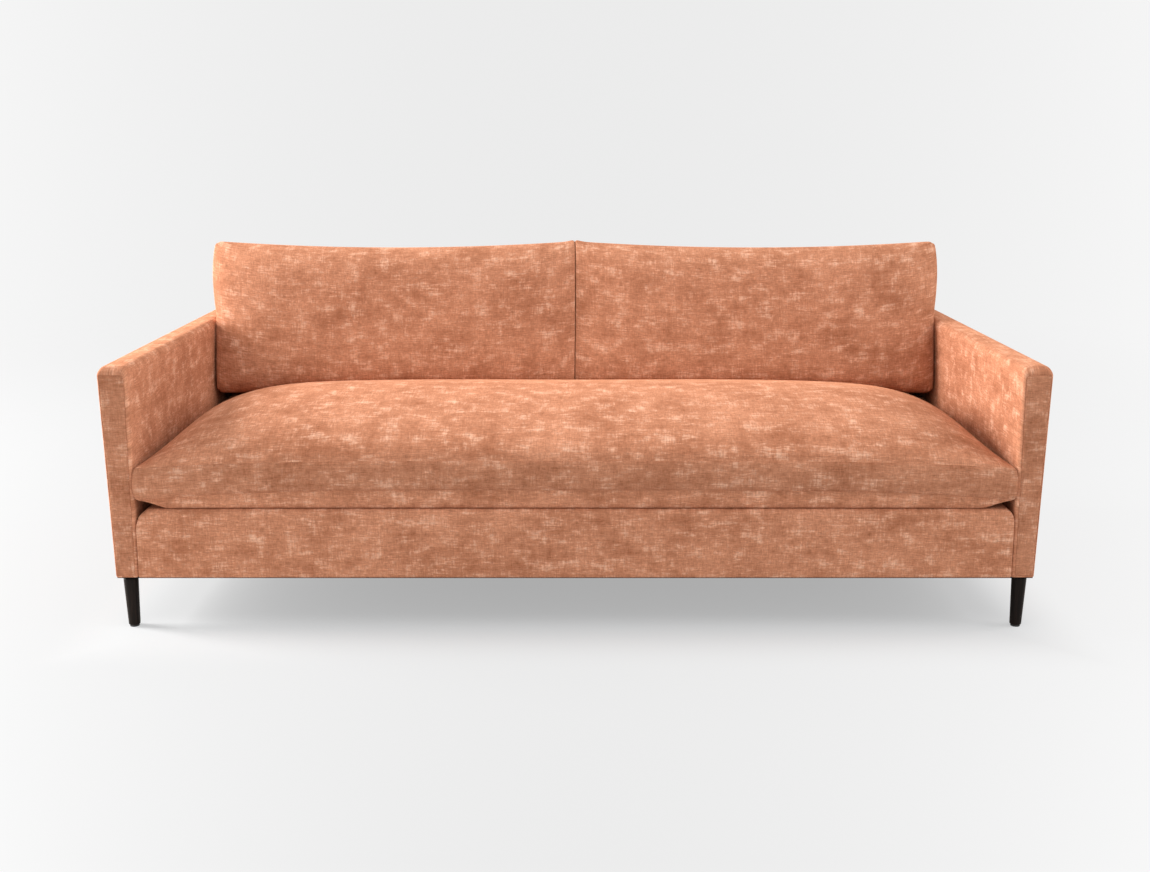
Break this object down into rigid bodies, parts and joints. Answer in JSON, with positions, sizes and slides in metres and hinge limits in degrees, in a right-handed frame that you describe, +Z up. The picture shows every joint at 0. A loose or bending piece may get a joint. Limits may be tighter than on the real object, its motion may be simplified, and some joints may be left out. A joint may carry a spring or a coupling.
{
  "type": "tuxedo sofa",
  "caption": "Upholstered tuxedo sofa with slim arms as high as its back, a bench seat cushion, loose back cushions and round tapered legs.",
  "frame": {"origin": "on the floor under the middle of the sofa's width and depth", "axes": "+X to the right of someone facing the sofa, along its width; +Y from the front to the back; +Z up"},
  "size_m": [2.1838, 1.03, 0.8486],
  "materials": {
    "upholstery": "matte",
    "lining": "matte",
    "hessian": "matte",
    "webbing": "matte",
    "foam": "matte",
    "timber": "matte",
    "hardboard": "matte",
    "dark_wood": "satin",
    "steel": "satin",
    "glide_plastic": "matte",
    "zip_plastic": "matte"
  },
  "bodies": {
    "frame": {"front_left_leg": "dark_wood", "front_right_leg": "dark_wood", "rear_left_leg": "dark_wood", "rear_right_leg": "dark_wood", "leg_glides": "glide_plastic", "leg_bolts": "steel", "leg_inserts": "steel", "front_rail": "timber", "rear_seat_rail": "timber", "side_rails": "timber", "cross_rails": "timber", "corner_blocks": "timber", "block_screws": "steel", "left_arm_front_post": "timber", "left_arm_rear_post": "timber", "left_arm_top_rail": "timber", "left_arm_bottom_rail": "timber", "left_arm_tack_rail": "timber", "left_arm_panels": "hardboard", "left_arm_padding": "foam", "left_arm_cover": "upholstery", "right_arm_front_post": "timber", "right_arm_rear_post": "timber", "right_arm_top_rail": "timber", "right_arm_bottom_rail": "timber", "right_arm_tack_rail": "timber", "right_arm_panels": "hardboard", "right_arm_padding": "foam", "right_arm_cover": "upholstery", "back_posts": "timber", "back_top_rail": "timber", "back_tack_rail": "timber", "back_bottom_rail": "timber", "back_webbing": "webbing", "back_padding": "foam", "back_cover": "upholstery", "unit_bolts": "steel", "unit_inserts": "steel", "seat_springs": "steel", "spring_clips": "steel", "hessian": "hessian", "deck_padding": "foam", "deck_cover": "upholstery", "border_padding": "foam", "border_cover": "upholstery", "dust_cover": "lining"},
    "seat_cushion": {"seat_cushion": "upholstery", "seat_cushion_core": "foam", "seat_zip": "zip_plastic"},
    "seat_zip_slider": {"seat_zip_slider": "steel"},
    "left_back_cushion": {"left_back_cushion": "upholstery", "left_back_cushion_core": "foam", "left_back_zip": "zip_plastic"},
    "left_back_zip_slider": {"left_back_zip_slider": "steel"},
    "right_back_cushion": {"right_back_cushion": "upholstery", "right_back_cushion_core": "foam", "right_back_zip": "zip_plastic"},
    "right_back_zip_slider": {"right_back_zip_slider": "steel"}
  },
  "joints": [
    {"name": "seat_cushion_lift", "type": "slide", "parent": "frame", "child": "seat_cushion", "axis": [0, 0, 1], "range_m": [0, 0.4]},
    {"name": "left_back_cushion_lift", "type": "slide", "parent": "seat_cushion", "child": "left_back_cushion", "axis": [0, 0, 1], "range_m": [0, 0.3]},
    {"name": "right_back_cushion_lift", "type": "slide", "parent": "seat_cushion", "child": "right_back_cushion", "axis": [0, 0, 1], "range_m": [0, 0.3]},
    {"name": "seat_zip_run", "type": "slide", "parent": "seat_cushion", "child": "seat_zip_slider", "axis": [1, 0, 0], "range_m": [0, 1.8]},
    {"name": "left_back_zip_run", "type": "slide", "parent": "left_back_cushion", "child": "left_back_zip_slider", "axis": [1, 0, 0], "range_m": [0, 0.78]},
    {"name": "right_back_zip_run", "type": "slide", "parent": "right_back_cushion", "child": "right_back_zip_slider", "axis": [1, 0, 0], "range_m": [0, 0.78]}
  ]
}
